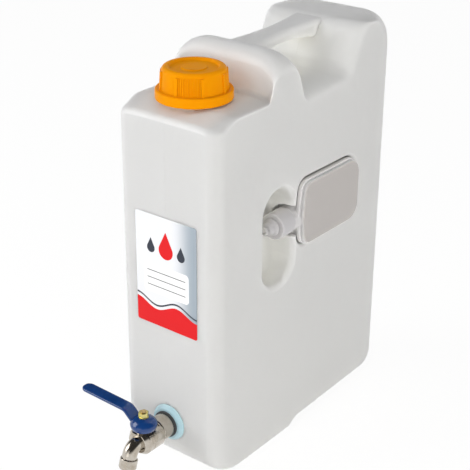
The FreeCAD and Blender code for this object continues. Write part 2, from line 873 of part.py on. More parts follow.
def lever_fixings():
    """Washer and hexagon nut that hold the lever on the stem."""
    place = stem_base + up * hub_top
    nut = hexagon(nut_flats, stem_base + up * nut_base, up, nut_height)
    return {
        "lever_washer": tube(lever_washer_radius, stem_radius, place, up, lever_washer_thickness),
        "lever_nut": nut.cut(Part.makeCylinder(stem_radius, nut_height, stem_base + up * nut_base)),
    }


def soap_point(distance):
    """Point on the axis of the soap bottle's neck, measured out from the bottle's front end."""
    return Vector(soap_neck_x, soap_front_y - distance, soap_neck_z)


soap_neck_end = soap_shoulder_length + soap_neck_length
soap_cap_start = soap_shoulder_length + soap_cap_gap
soap_inner_top = soap_neck_end + soap_liner_thickness
soap_cap_end = soap_inner_top + soap_cap_top
soap_thread_start = soap_neck_end - soap_thread_end - soap_pitch * soap_thread_turns


def along_neck(ridge, distance):
    """Thread ridge about +Z laid along the soap bottle's neck."""
    ridge.rotate(Vector(0, 0, 0), Vector(1, 0, 0), 90)
    ridge.translate(soap_point(distance))
    return ridge


def soap_bottle():
    """Flat hollow bottle with a parting flange, a raised face, and a threaded neck at its front end."""
    face = half_width + soap_proud
    back = face - soap_thickness
    flange_end = face - soap_face_height
    flange_start = flange_end - soap_flange
    face_edge = face - soap_face_edge
    trunk = grown(soap_corners, -soap_flange_step)
    plate = grown(soap_corners, -soap_face_step)
    room = grown(trunk, -soap_wall)
    room_back = back + soap_wall
    neck_start = soap_front_corner
    outer = side_stack(trunk, quarter(back, -soap_edge, back + soap_edge, 0.0, True)).fuse([
        side_stack(trunk, [(back + soap_edge, 0.0), (flange_start, 0.0)]),
        side_stack(soap_corners, [(flange_start, 0.0), (flange_end, 0.0)]),
        side_stack(plate, [(flange_end, 0.0), (face_edge, 0.0)]),
        side_stack(plate, quarter(face_edge, 0.0, face, -soap_face_edge, False)),
        turned([
            (0, -neck_start, 0),
            (soap_shoulder_radius, -neck_start, 0),
            (soap_shoulder_radius, 0, soap_wall),
            (soap_neck_radius, soap_shoulder_length, soap_wall),
            (soap_neck_radius, soap_neck_end, 0),
            (0, soap_neck_end, 0),
        ], soap_point(0), soap_axis),
        along_neck(thread_ridge(soap_neck_radius, soap_thread_height, soap_thread_root, soap_thread_crest,
                                soap_pitch, soap_thread_turns, soap_thread_gap), soap_thread_start),
    ])
    inner = side_stack(room, quarter(room_back, -soap_edge, room_back + soap_edge, 0.0, True)).fuse([
        side_stack(room, [(room_back + soap_edge, 0.0), (face - soap_wall, 0.0)]),
        turned([
            (0, -neck_start, 0),
            (soap_shoulder_radius - soap_wall, -neck_start, 0),
            (soap_shoulder_radius - soap_wall, 0, soap_wall),
            (soap_neck_bore, soap_shoulder_length, soap_wall),
            (soap_neck_bore, soap_neck_end + soap_wall, 0),
            (0, soap_neck_end + soap_wall, 0),
        ], soap_point(0), soap_axis),
    ])
    return outer.cut(inner)


def soap_cap():
    """Screw cap with an inner thread, a chimney for the nozzle and a post that plugs the nozzle's tip."""
    cup = turned([
        (soap_cap_inner, soap_cap_start, 0),
        (soap_cap_radius, soap_cap_start, soap_cap_edge),
        (soap_cap_radius, soap_cap_end, soap_cap_edge),
        (chimney_radius, soap_cap_end, 0),
        (chimney_radius, soap_cap_end + chimney_length, 0),
        (chimney_radius - chimney_wall, soap_cap_end + chimney_length, 0),
        (chimney_radius - chimney_wall, soap_cap_end, 0),
        (post_radius, soap_cap_end, 0),
        (post_radius, soap_cap_end + nozzle_length, 0),
        (0, soap_cap_end + nozzle_length, 0),
        (0, soap_inner_top, 0),
        (soap_cap_inner, soap_inner_top, 0),
    ], soap_point(0), soap_axis)
    ridge = along_neck(thread_ridge(soap_cap_inner, -soap_thread_height, soap_thread_root, soap_thread_crest,
                                    soap_pitch, soap_thread_turns, soap_thread_gap),
                       soap_thread_start - soap_pitch / 2)
    holes = []
    ring = (chimney_radius - chimney_wall + post_radius) / 2
    for index in range(feed_holes):
        angle = 2 * math.pi * index / feed_holes
        place = soap_point(soap_inner_top - soap_cap_top)
        place += Vector(ring * math.cos(angle), 0, ring * math.sin(angle))
        holes.append(Part.makeCylinder(feed_radius, 3 * soap_cap_top, place, soap_axis))
    return cup.fuse(ridge).cut(holes)


def soap_spout():
    """Nozzle that slides on the chimney: closed when it is pushed in against the cap."""
    base = soap_cap_end + nozzle_gap
    tip = soap_cap_end + nozzle_length
    bore = chimney_radius + nozzle_gap
    return turned([
        (bore, base, 0),
        (nozzle_base_radius, base, nozzle_gap),
        (nozzle_base_radius, base + nozzle_tip_wall, nozzle_gap),
        (nozzle_tip_radius + nozzle_gap, base + 2 * nozzle_tip_wall, nozzle_tip_wall),
        (nozzle_tip_radius + nozzle_gap, tip - 2 * nozzle_tip_wall, nozzle_tip_wall),
        (nozzle_tip_radius - nozzle_tip_wall, tip, nozzle_gap),
        (post_radius + nozzle_gap, tip, 0),
        (post_radius + nozzle_gap, tip - nozzle_tip_wall, 0),
        (bore, tip - nozzle_tip_wall, 0),
    ], soap_point(0), soap_axis)


def soap_cap_liner():
    """Sealing washer between the rim of the bottle's neck and its cap."""
    return tube(soap_cap_inner - soap_thread_gap, chimney_radius, soap_point(soap_neck_end), soap_axis,
                soap_liner_thickness)


nodes = {
    "canister_shell": canister_shell(),
    "front_label": front_label(),
    "screw_cap": screw_cap(),
    "cap_gasket": cap_gasket(),
    "tap_inlet": tap_inlet(),
    "tap_body": tap_body(),
    "outlet_collar": outlet_collar(),
    "lever_handle": lever_handle(),
    "soap_bottle": soap_bottle(),
    "soap_cap": soap_cap(),
    "soap_cap_liner": soap_cap_liner(),
    "soap_spout": soap_spout(),
}
nodes.update(tap_fittings())
nodes.update(valve_pieces())
nodes.update(lever_fixings())

os.makedirs("parts", exist_ok=True)
for name, shape in nodes.items():
    shape.exportStep("parts/" + name + ".step")
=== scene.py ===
import math

import bpy
import numpy as np
from mathutils import Matrix, Vector


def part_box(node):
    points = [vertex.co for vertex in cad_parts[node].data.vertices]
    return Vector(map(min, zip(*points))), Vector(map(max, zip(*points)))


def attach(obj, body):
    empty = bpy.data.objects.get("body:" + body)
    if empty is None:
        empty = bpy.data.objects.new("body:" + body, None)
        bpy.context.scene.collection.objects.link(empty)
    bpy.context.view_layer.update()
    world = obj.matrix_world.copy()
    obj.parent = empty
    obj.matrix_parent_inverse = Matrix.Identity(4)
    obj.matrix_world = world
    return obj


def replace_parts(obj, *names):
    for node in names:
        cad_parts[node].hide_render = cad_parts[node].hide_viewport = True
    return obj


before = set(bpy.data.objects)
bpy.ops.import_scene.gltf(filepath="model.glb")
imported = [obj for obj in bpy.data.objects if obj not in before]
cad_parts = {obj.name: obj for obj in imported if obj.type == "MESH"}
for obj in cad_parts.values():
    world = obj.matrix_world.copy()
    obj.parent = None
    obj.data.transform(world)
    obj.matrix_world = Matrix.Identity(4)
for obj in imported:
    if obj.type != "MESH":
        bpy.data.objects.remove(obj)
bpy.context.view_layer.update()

# Canister shell: one blow-moulded polyethylene body with its neck, carrying handle and side recess.
# The natural polymer is milky, so light soaks a few millimetres into the wall. The skin is satin, with a
# slow ripple from cooling, a fine mould grain and a faint parting line in the middle plane.
mm = 0.001
shell_colour = (0.999, 0.990, 0.915, 1.0)
shell_roughness = 0.40
shell_soak = 1.0
shell_soak_depth = 14.0 * mm
shell_ripple_depth = 2.0 * mm
parting_half_width = 0.5 * mm
parting_height = 0.10


def put(tree, kind, sockets=None, **settings):
    """One shader node: its settings, then each input set to a value or fed by a socket."""
    node = tree.nodes.new(kind)
    for name, value in settings.items():
        setattr(node, name, value)
    for key, value in (sockets or {}).items():
        if isinstance(value, bpy.types.NodeSocket):
            tree.links.new(value, node.inputs[key])
        else:
            node.inputs[key].default_value = value
    return node


def reckon(tree, operation, *values):
    """One sum on numbers or sockets, which gives its result socket."""
    return put(tree, "ShaderNodeMath", dict(enumerate(values)), operation=operation).outputs[0]


def blended(tree, factor, first, second):
    """The first colour where the factor is 0 and the second where it is 1."""
    node = put(tree, "ShaderNodeMix", {"Factor": factor}, data_type="RGBA")
    for socket, value in ((node.inputs[6], first), (node.inputs[7], second)):
        if isinstance(value, bpy.types.NodeSocket):
            tree.links.new(value, socket)
        else:
            socket.default_value = value
    return node.outputs[2]


def new_group(name, takes, gives):
    """An empty node group with named inputs, each with its resting value, and named outputs."""
    tree = bpy.data.node_groups.new(name, "ShaderNodeTree")
    for label, value in takes.items():
        kind = "NodeSocketColor" if isinstance(value, tuple) else "NodeSocketFloat"
        tree.interface.new_socket(name=label, in_out="INPUT", socket_type=kind).default_value = value
    for label, kind in gives.items():
        tree.interface.new_socket(name=label, in_out="OUTPUT", socket_type=kind)
    return tree, put(tree, "NodeGroupInput").outputs, put(tree, "NodeGroupOutput").inputs


surface_outputs = {
    "Colour": "NodeSocketColor",
    "Roughness": "NodeSocketFloat",
    "Height": "NodeSocketFloat",
}
moulded_skin, taken, given = new_group("moulded_skin", {
    "Colour": (0.8, 0.8, 0.8, 1.0),
    "Tone Drift": 0.05,
    "Cloud Scale": 20.0,
    "Roughness": 0.4,
    "Roughness Drift": 0.1,
    "Grain Scale": 1500.0,
    "Grain Share": 0.3,
}, surface_outputs)
place = put(moulded_skin, "ShaderNodeTexCoord").outputs["Object"]
cloud = put(moulded_skin, "ShaderNodeTexNoise", {
    "Vector": place,
    "Scale": taken["Cloud Scale"],
    "Detail": 3.0,
}).outputs["Fac"]
grain = put(moulded_skin, "ShaderNodeTexNoise", {
    "Vector": place,
    "Scale": taken["Grain Scale"],
    "Detail": 2.0,
}).outputs["Fac"]
cloud_sway = reckon(moulded_skin, "SUBTRACT", cloud, 0.5)
tone = reckon(moulded_skin, "MULTIPLY_ADD", cloud_sway, taken["Tone Drift"], 1.0)
toned = put(moulded_skin, "ShaderNodeVectorMath", {0: taken["Colour"], "Scale": tone}, operation="SCALE")
moulded_skin.links.new(toned.outputs[0], given["Colour"])
dulled = reckon(moulded_skin, "MULTIPLY_ADD", cloud_sway, taken["Roughness Drift"], taken["Roughness"])
moulded_skin.links.new(dulled, given["Roughness"])
relief = reckon(moulded_skin, "MULTIPLY_ADD", grain, taken["Grain Share"], cloud)
moulded_skin.links.new(relief, given["Height"])


def new_finish(name, **constants):
    """A material with one Principled shader, whose constant sockets are set by name."""
    material = bpy.data.materials.new(name)
    material.use_nodes = True
    shader = material.node_tree.nodes["Principled BSDF"]
    for label, value in constants.items():
        shader.inputs[label.replace("_", " ").title().replace("Ior", "IOR")].default_value = value
    return material, material.node_tree, shader


def lay(tree, shader, group, values, depth, extra_height=None):
    """A surface group on a shader: its colour and roughness, and its height as a bump of that depth."""
    surface = put(tree, "ShaderNodeGroup", node_tree=group)
    for label, value in values.items():
        if isinstance(value, bpy.types.NodeSocket):
            tree.links.new(value, surface.inputs[label])
        else:
            surface.inputs[label].default_value = value
    height = surface.outputs["Height"]
    if extra_height is not None:
        height = reckon(tree, "ADD", height, extra_height)
    bump = put(tree, "ShaderNodeBump", {"Height": height, "Distance": depth})
    tree.links.new(surface.outputs["Colour"], shader.inputs["Base Color"])
    tree.links.new(surface.outputs["Roughness"], shader.inputs["Roughness"])
    tree.links.new(bump.outputs["Normal"], shader.inputs["Normal"])


def dress(material, *nodes):
    """The material in the slots of these CAD nodes."""
    for name in nodes:
        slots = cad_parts[name].data.materials
        slots.clear()
        slots.append(material)


milky_shell, tree, shader = new_finish(
    "milky_shell",
    subsurface_weight=shell_soak,
    subsurface_radius=(1.0, 1.0, 1.0),
    subsurface_scale=shell_soak_depth,
    specular_ior_level=0.4,
)
shell_place = put(tree, "ShaderNodeSeparateXYZ", {0: put(tree, "ShaderNodeTexCoord").outputs["Object"]})
off_middle = reckon(tree, "ABSOLUTE", shell_place.outputs["X"])
parting = put(tree, "ShaderNodeMapRange", {
    "Value": off_middle,
    "From Min": 0.0,
    "From Max": parting_half_width,
    "To Min": parting_height,
    "To Max": 0.0,
}, interpolation_type="SMOOTHSTEP").outputs[0]
lay(tree, shader, moulded_skin, {
    "Colour": shell_colour,
    "Tone Drift": 0.035,
    "Cloud Scale": 16.0,
    "Roughness": shell_roughness,
    "Roughness Drift": 0.25,
    "Grain Scale": 1300.0,
    "Grain Share": 0.02,
}, shell_ripple_depth, parting)
dress(milky_shell, "canister_shell")

# Front label: a printed film sticker on the flat front, silver grey and darker towards its right edge.
# Its design is a generic one: three drops over a blank ruled panel and a red wave at the foot.
film_low, film_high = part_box("front_label")
film_width = film_high[0] - film_low[0]
film_height = film_high[2] - film_low[2]
film_silver = (0.73, 0.74, 0.77, 1.0)
film_steel = (0.30, 0.35, 0.40, 1.0)
film_red = (0.64, 0.007, 0.010, 1.0)
film_dark = (0.035, 0.040, 0.055, 1.0)
film_pale = (0.82, 0.82, 0.83, 1.0)
steel_start = 0.05
steel_end = 0.5
wave_crest = 21.0 * mm
wave_swing = 4.0 * mm
wave_lengths = 1.5
wave_line_gap = 4.0 * mm
wave_line_half = 0.9 * mm
drop_radius = 8.5 * mm
drop_tip = 19.0 * mm
drop_level = 0.71
small_drop = 0.55
small_drop_level = 0.70
small_drop_aside = 18.0 * mm
panel_half = (27.0 * mm, 15.0 * mm)
panel_corner = 4.0 * mm
panel_level = 0.43
rule_pitch = 7.5 * mm
rule_width = 0.8 * mm
rule_reach = 1.2

label_film, tree, shader = new_finish(
    "label_film",
    coat_weight=0.08,
    coat_roughness=0.2,
    specular_ior_level=0.15,
)
film_place = put(tree, "ShaderNodeSeparateXYZ", {0: put(tree, "ShaderNodeTexCoord").outputs["Object"]})
across = reckon(tree, "SUBTRACT", film_place.outputs["X"], (film_low[0] + film_high[0]) / 2)
above_foot = reckon(tree, "SUBTRACT", film_place.outputs["Z"], film_low[2])


def inside_drop(centre_across, centre_height, share):
    """1 inside a drop with its tip up: a disc, and the cone from the tip that touches the disc."""
    radius = drop_radius * share
    tip = drop_tip * share
    lean = math.asin(radius / tip)
    aside = reckon(tree, "SUBTRACT", across, centre_across)
    above = reckon(tree, "SUBTRACT", above_foot, centre_height)
    square = reckon(tree, "ADD", reckon(tree, "POWER", aside, 2.0), reckon(tree, "POWER", above, 2.0))
    disc = reckon(tree, "LESS_THAN", square, radius * radius)
    cone_half = reckon(tree, "MULTIPLY", reckon(tree, "SUBTRACT", tip, above), math.tan(lean))
    in_cone = reckon(tree, "LESS_THAN", reckon(tree, "ABSOLUTE", aside), cone_half)
    over_touch = reckon(tree, "GREATER_THAN", above, radius * math.sin(lean))
    return reckon(tree, "MAXIMUM", disc, reckon(tree, "MULTIPLY", in_cone, over_touch))


steel_share = put(tree, "ShaderNodeMapRange", {
    "Value": across,
    "From Min": film_width * steel_start,
    "From Max": film_width * steel_end,
}, interpolation_type="SMOOTHERSTEP").outputs[0]
printed = blended(tree, steel_share, film_silver, film_steel)
off_centre = reckon(tree, "ABSOLUTE", across)
panel_place = reckon(tree, "SUBTRACT", above_foot, panel_level * film_height)
off_panel = reckon(tree, "ABSOLUTE", panel_place)
past_side = reckon(tree, "SUBTRACT", off_centre, panel_half[0] - panel_corner)
past_top = reckon(tree, "SUBTRACT", off_panel, panel_half[1] - panel_corner)
panel_square = reckon(
    tree,
    "ADD",
    reckon(tree, "POWER", reckon(tree, "MAXIMUM", past_side, 0.0), 2.0),
    reckon(tree, "POWER", reckon(tree, "MAXIMUM", past_top, 0.0), 2.0),
)
panel = reckon(tree, "LESS_THAN", panel_square, panel_corner * panel_corner)
printed = blended(tree, panel, printed, film_pale)
rule_beat = reckon(tree, "PINGPONG", panel_place, rule_pitch / 2)
rule_band = reckon(tree, "LESS_THAN", rule_beat, rule_width / 2)
rule_room = reckon(tree, "LESS_THAN", off_centre, panel_half[0] - panel_corner)
rule_span = reckon(tree, "LESS_THAN", off_panel, rule_pitch * rule_reach)
ruled = reckon(tree, "MULTIPLY", rule_band, reckon(tree, "MULTIPLY", rule_room, rule_span))
printed = blended(tree, ruled, printed, film_dark)
wave_turn = reckon(tree, "MULTIPLY", across, 2 * math.pi * wave_lengths / film_width)
wave_top = reckon(tree, "MULTIPLY_ADD", reckon(tree, "SINE", wave_turn), wave_swing, wave_crest)
line_middle = reckon(tree, "ADD", wave_top, wave_line_gap)
wave_line = reckon(tree, "COMPARE", above_foot, line_middle, wave_line_half)
printed = blended(tree, wave_line, printed, film_dark)
printed = blended(tree, reckon(tree, "LESS_THAN", above_foot, wave_top), printed, film_red)
for drop_across, level, share, ink in (
    (0.0, drop_level, 1.0, film_red),
    (-small_drop_aside, small_drop_level, small_drop, film_dark),
    (small_drop_aside, small_drop_level, small_drop, film_dark),
):
    printed = blended(tree, inside_drop(drop_across, level * film_height, share), printed, ink)
lay(tree, shader, moulded_skin, {
    "Colour": printed,
    "Tone Drift": 0.04,
    "Cloud Scale": 30.0,
    "Roughness": 0.34,
    "Roughness Drift": 0.15,
    "Grain Scale": 1800.0,
    "Grain Share": 0.15,
}, 0.15 * mm)
dress(label_film, "front_label")

# Screw cap: injection-moulded polypropylene in orange, screwed on the neck over a soft sealing disc.
# The thin skirt lets some light through, and the skin is glossier than the canister's.
cap_colour = (0.72, 0.262, 0.002, 1.0)
orange_cap, tree, shader = new_finish(
    "orange_cap",
    subsurface_weight=0.3,
    subsurface_radius=(1.0, 0.55, 0.08),
    subsurface_scale=3.0 * mm,
    ior=1.12,
    specular_ior_level=0.35,
    specular_tint=(1.0, 0.62, 0.02, 1.0),
)
lay(tree, shader, moulded_skin, {
    "Colour": cap_colour,
    "Tone Drift": 0.12,
    "Cloud Scale": 40.0,
    "Roughness": 0.32,
    "Roughness Drift": 0.2,
    "Grain Scale": 1600.0,
    "Grain Share": 0.06,
}, 0.5 * mm)
dress(orange_cap, "screw_cap")

soft_seal, tree, shader = new_finish("soft_seal", subsurface_weight=0.2, subsurface_scale=2.0 * mm)
lay(tree, shader, moulded_skin, {
    "Colour": (0.68, 0.68, 0.66, 1.0),
    "Tone Drift": 0.1,
    "Cloud Scale": 60.0,
    "Roughness": 0.6,
    "Roughness Drift": 0.2,
    "Grain Scale": 900.0,
    "Grain Share": 0.5,
}, 0.2 * mm)
dress(soft_seal, "cap_gasket", "soap_cap_liner", "tap_inner_gasket")

# Tap seals: a pale blue silicone ring against the wall, with a black rubber washer on it. The washer's thin
# black ring also paints the shade in the gap at the tap's flange.
# The silicone is cloudy and lets light in, and the rubber is dull with a fine bloom.
silicone_ring, tree, shader = new_finish(
    "silicone_ring",
    subsurface_weight=0.5,
    subsurface_radius=(0.6, 0.9, 1.0),
    subsurface_scale=3.0 * mm,
    specular_ior_level=0.5,
)
lay(tree, shader, moulded_skin, {
    "Colour": (0.37, 0.53, 0.59, 1.0),
    "Tone Drift": 0.25,
    "Cloud Scale": 70.0,
    "Roughness": 0.35,
    "Roughness Drift": 0.2,
    "Grain Scale": 1200.0,
    "Grain Share": 0.1,
}, 0.3 * mm)
dress(silicone_ring, "tap_outer_gasket")

# Partly painted shade: the washer's black stands in for the shadow between the tap's flange and the silicone
# ring.
black_rubber, tree, shader = new_finish("black_rubber")
lay(tree, shader, moulded_skin, {
    "Colour": (0.045, 0.045, 0.047, 1.0),
    "Tone Drift": 0.6,
    "Cloud Scale": 90.0,
    "Roughness": 0.62,
    "Roughness Drift": 0.25,
    "Grain Scale": 2500.0,
    "Grain Share": 0.6,
}, 0.15 * mm)
dress(black_rubber, "tap_rubber_washer")

# Ball valve: a brass tap, turned, polished and nickel plated, in two halves that screw together.
# The plating is bright with a slight warm stain, fine turning lines and small dull smudges.
stain_scale = 120.0
stain_start = 0.42
stain_full = 0.70
smudge_scale = 260.0
least_roughness = 0.03
line_share = 0.15
turned_metal, taken, given = new_group("turned_metal", {
    "Colour": (0.6, 0.6, 0.6, 1.0),
    "Stain": (0.5, 0.45, 0.35, 1.0),
    "Stain Share": 0.3,
    "Roughness": 0.15,
    "Smudge": 0.2,
    "Line Scale": 900.0,
}, surface_outputs)
place = put(turned_metal, "ShaderNodeTexCoord").outputs["Object"]
stain_cloud = put(turned_metal, "ShaderNodeTexNoise", {"Vector": place, "Scale": stain_scale, "Detail": 4.0})
stain_mask = put(turned_metal, "ShaderNodeMapRange", {
    "Value": stain_cloud.outputs["Fac"],
    "From Min": stain_start,
    "From Max": stain_full,
    "To Max": taken["Stain Share"],
}).outputs[0]
turned_metal.links.new(blended(turned_metal, stain_mask, taken["Colour"], taken["Stain"]), given["Colour"])
smudge_cloud = put(turned_metal, "ShaderNodeTexNoise", {
    "Vector": place,
    "Scale": smudge_scale,
    "Detail": 3.0,
}).outputs["Fac"]
smudge_sway = reckon(turned_metal, "SUBTRACT", smudge_cloud, 0.5)
dulled = reckon(turned_metal, "MULTIPLY_ADD", smudge_sway, taken["Smudge"], taken["Roughness"])
turned_metal.links.new(reckon(turned_metal, "MAXIMUM", dulled, least_roughness), given["Roughness"])
turning_lines = put(turned_metal, "ShaderNodeTexWave", {
    "Vector": place,
    "Scale": taken["Line Scale"],
    "Distortion": 1.5,
    "Detail": 2.0,
}, bands_direction="Y").outputs["Fac"]
relief = reckon(turned_metal, "MULTIPLY_ADD", turning_lines, line_share, smudge_cloud)
turned_metal.links.new(relief, given["Height"])

nickel_plate, tree, shader = new_finish("nickel_plate", metallic=1.0)
lay(tree, shader, turned_metal, {
    "Colour": (0.56, 0.52, 0.46, 1.0),
    "Stain": (0.34, 0.28, 0.20, 1.0),
    "Stain Share": 0.6,
    "Roughness": 0.16,
    "Smudge": 0.25,
    "Line Scale": 500.0,
}, 0.10 * mm)
dress(nickel_plate, "tap_inlet", "tap_body", "outlet_collar", "gland_nut", "tap_locknut")

bare_brass, tree, shader = new_finish("bare_brass", metallic=1.0)
lay(tree, shader, turned_metal, {
    "Colour": (0.60, 0.44, 0.20, 1.0),
    "Stain": (0.30, 0.20, 0.09, 1.0),
    "Stain Share": 0.5,
    "Roughness": 0.26,
    "Smudge": 0.25,
    "Line Scale": 700.0,
}, 0.10 * mm)
dress(bare_brass, "valve_stem", "valve_ball")

seat_plastic, tree, shader = new_finish("seat_plastic", subsurface_weight=0.15, subsurface_scale=1.0 * mm)
lay(tree, shader, moulded_skin, {
    "Colour": (0.72, 0.72, 0.70, 1.0),
    "Tone Drift": 0.08,
    "Cloud Scale": 120.0,
    "Roughness": 0.45,
    "Roughness Drift": 0.15,
    "Grain Scale": 2000.0,
    "Grain Share": 0.3,
}, 0.1 * mm)
dress(seat_plastic, "seat_ring_rear", "seat_ring_front", "stem_washer", "stem_packing")

# Lever: a bent steel strip with a domed hub, dipped in glossy navy vinyl that rounds all its edges.
# It sits on the stem under a washer and a yellow zinc-plated hexagon nut.
washer_low, washer_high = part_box("lever_washer")
stem_x = (washer_low[0] + washer_high[0]) / 2
stem_y = (washer_low[1] + washer_high[1]) / 2
hub_top = washer_low[2]
hub_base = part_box("lever_handle")[0][2]
strip_half_width = 6.75 * mm
strip_half_depth = 1.6 * mm
strip_edge = 1.45 * mm
strip_line = (
    (-7.0 * mm, -9.2 * mm),
    (-20.0 * mm, 2.3 * mm),
    (-77.5 * mm, 3.8 * mm),
)
strip_bend = 9.0 * mm
strip_fullness = 0.8
strip_samples = 220
bend_samples = 24
tip_start = 0.02
edge_samples = 28
hub_bore = 3.1 * mm
hub_brim = 5.6 * mm
hub_brow = 10.4 * mm
hub_brow_drop = 2.6 * mm
hub_belly = 13.6 * mm
hub_belly_rise = 4.8 * mm
hub_foot = 12.0 * mm
hub_inside = 9.4 * mm
hub_roof = 4.8 * mm
hub_rounds = np.array((0, 0.4, 1.2, 9.0, 4.4, 1.0, 0.5, 0.8, 0.4, 0)) * mm
hub_round_samples = 10
hub_samples = 120


def rounded_line(corners, radii, steps):
    """A line of straight runs whose corners are arcs: each arc starts and ends radius * tan(half the
    turn) from its corner, and its points turn evenly about its centre."""
    corners = np.asarray(corners, float)
    pieces = [corners[:1]]
    for before, corner, after, radius in zip(corners, corners[1:], corners[2:], radii[1:-1]):
        back = (before - corner) / np.linalg.norm(before - corner)
        ahead = (after - corner) / np.linalg.norm(after - corner)
        half_open = math.acos(np.clip(back @ ahead, -1, 1)) / 2
        if radius == 0 or abs(half_open - math.pi / 2) < 1e-6:
            pieces.append(corner[None])
            continue
        middle = (back + ahead) / np.linalg.norm(back + ahead)
        centre = corner + middle * radius / math.sin(half_open)
        swing = np.linspace(-1, 1, steps)[:, None] * (math.pi / 2 - half_open)
        side = (ahead - back) / np.linalg.norm(ahead - back)
        pieces.append(centre + radius * (-middle * np.cos(swing) + side * np.sin(swing)))
    pieces.append(corners[-1:])
    return np.concatenate(pieces)


def grid_faces(rows, columns, ring_rows, offset=0):
    """Quads between the rows of a grid whose columns close on themselves, and whose rows do if asked."""
    row = np.arange(rows if ring_rows else rows - 1)[:, None]
    column = np.arange(columns)[None, :]
    up = (row + 1) % rows
    right = (column + 1) % columns
    quads = np.stack([
        row * columns + column,
        row * columns + right,
        up * columns + right,
        up * columns + column,
    ], axis=-1)
    return (quads.reshape(-1, 4) + offset).tolist()


def new_piece(name, points, faces, material, body, replaced):
    """A smooth mesh piece that rides on a body in place of CAD nodes."""
    mesh = bpy.data.meshes.new(name)
    mesh.from_pydata(points.tolist(), [], faces)
    mesh.polygons.foreach_set("use_smooth", np.ones(len(mesh.polygons), bool))
    mesh.materials.append(material)
    mesh.update()
    piece = bpy.data.objects.new(name, mesh)
    bpy.context.scene.collection.objects.link(piece)
    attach(piece, body)
    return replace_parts(piece, *replaced)


def strip_points():
    """The strip: a rounded bar section carried along the bent line. The half width follows a circle at the
    round end, and both half sizes close to a point there."""
    line = rounded_line(strip_line, (0, strip_bend, 0), bend_samples)
    step = np.linalg.norm(np.diff(line, axis=0), axis=1)
    along = np.concatenate([[0.0], np.cumsum(step)])
    ease = 1 - np.cos(np.linspace(tip_start, math.pi / 2, strip_samples))
    place = along[-1] * (1 - ease[::-1])
    x = np.interp(place, along, line[:, 0])
    z = np.interp(place, along, line[:, 1])
    slope = np.stack([np.gradient(x, place), np.gradient(z, place)], axis=1)
    slope /= np.linalg.norm(slope, axis=1)[:, None]
    left = along[-1] - place
    inset = np.clip(1 - left / strip_half_width, 0, 1)
    half_width = strip_half_width * np.sqrt(1 - inset ** 2)
    inset = np.clip(1 - left / strip_edge, 0, 1)
    half_depth = strip_half_depth * np.sqrt(1 - inset ** 2)
    turn = np.linspace(0, 2 * math.pi, edge_samples, endpoint=False) + math.pi / edge_samples
    edge = np.minimum(strip_edge, half_width)[:, None]
    wide = np.sign(np.cos(turn)) * (half_width[:, None] - edge) + edge * np.cos(turn)
    deep = half_depth[:, None] * np.sign(np.sin(turn)) * np.abs(np.sin(turn)) ** strip_fullness
    return np.stack([
        stem_x + x[:, None] - slope[:, 1:] * deep,
        stem_y + wide,
        hub_top + z[:, None] + slope[:, :1] * deep,
    ], axis=-1)


def hub_points():
    """The hub: a closed rounded wall profile turned about the stem. It starts and ends half way up the
    bore, and runs over the brim, brow and belly to the foot and back along the inside."""
    height = hub_top - hub_base
    half_way = (hub_bore, height - hub_roof / 2)
    profile = rounded_line([
        half_way,
        (hub_bore, height),
        (hub_brim, height),
        (hub_brow, height - hub_brow_drop),
        (hub_belly, hub_belly_rise),
        (hub_foot, 0.0),
        (hub_inside, 0.0),
        (hub_inside, height - hub_roof),
        (hub_bore, height - hub_roof),
        half_way,
    ], hub_rounds, hub_round_samples)[:-1]
    turn = np.linspace(0, 2 * math.pi, hub_samples, endpoint=False)[:, None]
    return np.stack([
        stem_x + profile[:, 0] * np.cos(turn),
        stem_y + profile[:, 0] * np.sin(turn),
        hub_base + profile[:, 1] + 0 * turn,
    ], axis=-1)


navy_dip, tree, shader = new_finish(
    "navy_dip",
    coat_weight=0.4,
    coat_roughness=0.06,
    specular_ior_level=0.45,
)
lay(tree, shader, moulded_skin, {
    "Colour": (0.002, 0.033, 0.150, 1.0),
    "Tone Drift": 0.5,
    "Cloud Scale": 60.0,
    "Roughness": 0.20,
    "Roughness Drift": 0.2,
    "Grain Scale": 500.0,
    "Grain Share": 0.08,
}, 0.35 * mm)
strip = strip_points()
hub = hub_points()
strip_rows, strip_columns = strip.shape[:2]
root_pole = strip[0].mean(axis=0)
tip_pole = strip[-1].mean(axis=0)
lever_points = np.concatenate([strip.reshape(-1, 3), [root_pole, tip_pole], hub.reshape(-1, 3)])
strip_count = strip_rows * strip_columns
lever_faces = grid_faces(strip_rows, strip_columns, False)
ring = np.arange(strip_columns)
lever_faces += np.stack([np.roll(ring, -1), ring, np.full_like(ring, strip_count)], axis=1).tolist()
last_ring = ring + strip_count - strip_columns
tip_fan = [last_ring, np.roll(last_ring, -1), np.full_like(ring, strip_count + 1)]
lever_faces += np.stack(tip_fan, axis=1).tolist()
lever_faces += grid_faces(hub.shape[0], hub.shape[1], True, strip_count + 2)
dipped_lever = new_piece("dipped_lever", lever_points, lever_faces, navy_dip, "lever", ["lever_handle"])

yellow_zinc, tree, shader = new_finish("yellow_zinc", metallic=1.0)
lay(tree, shader, turned_metal, {
    "Colour": (0.70, 0.62, 0.25, 1.0),
    "Stain": (0.42, 0.40, 0.10, 1.0),
    "Stain Share": 0.8,
    "Roughness": 0.24,
    "Smudge": 0.2,
    "Line Scale": 800.0,
}, 0.08 * mm)
dress(yellow_zinc, "lever_washer", "lever_nut")

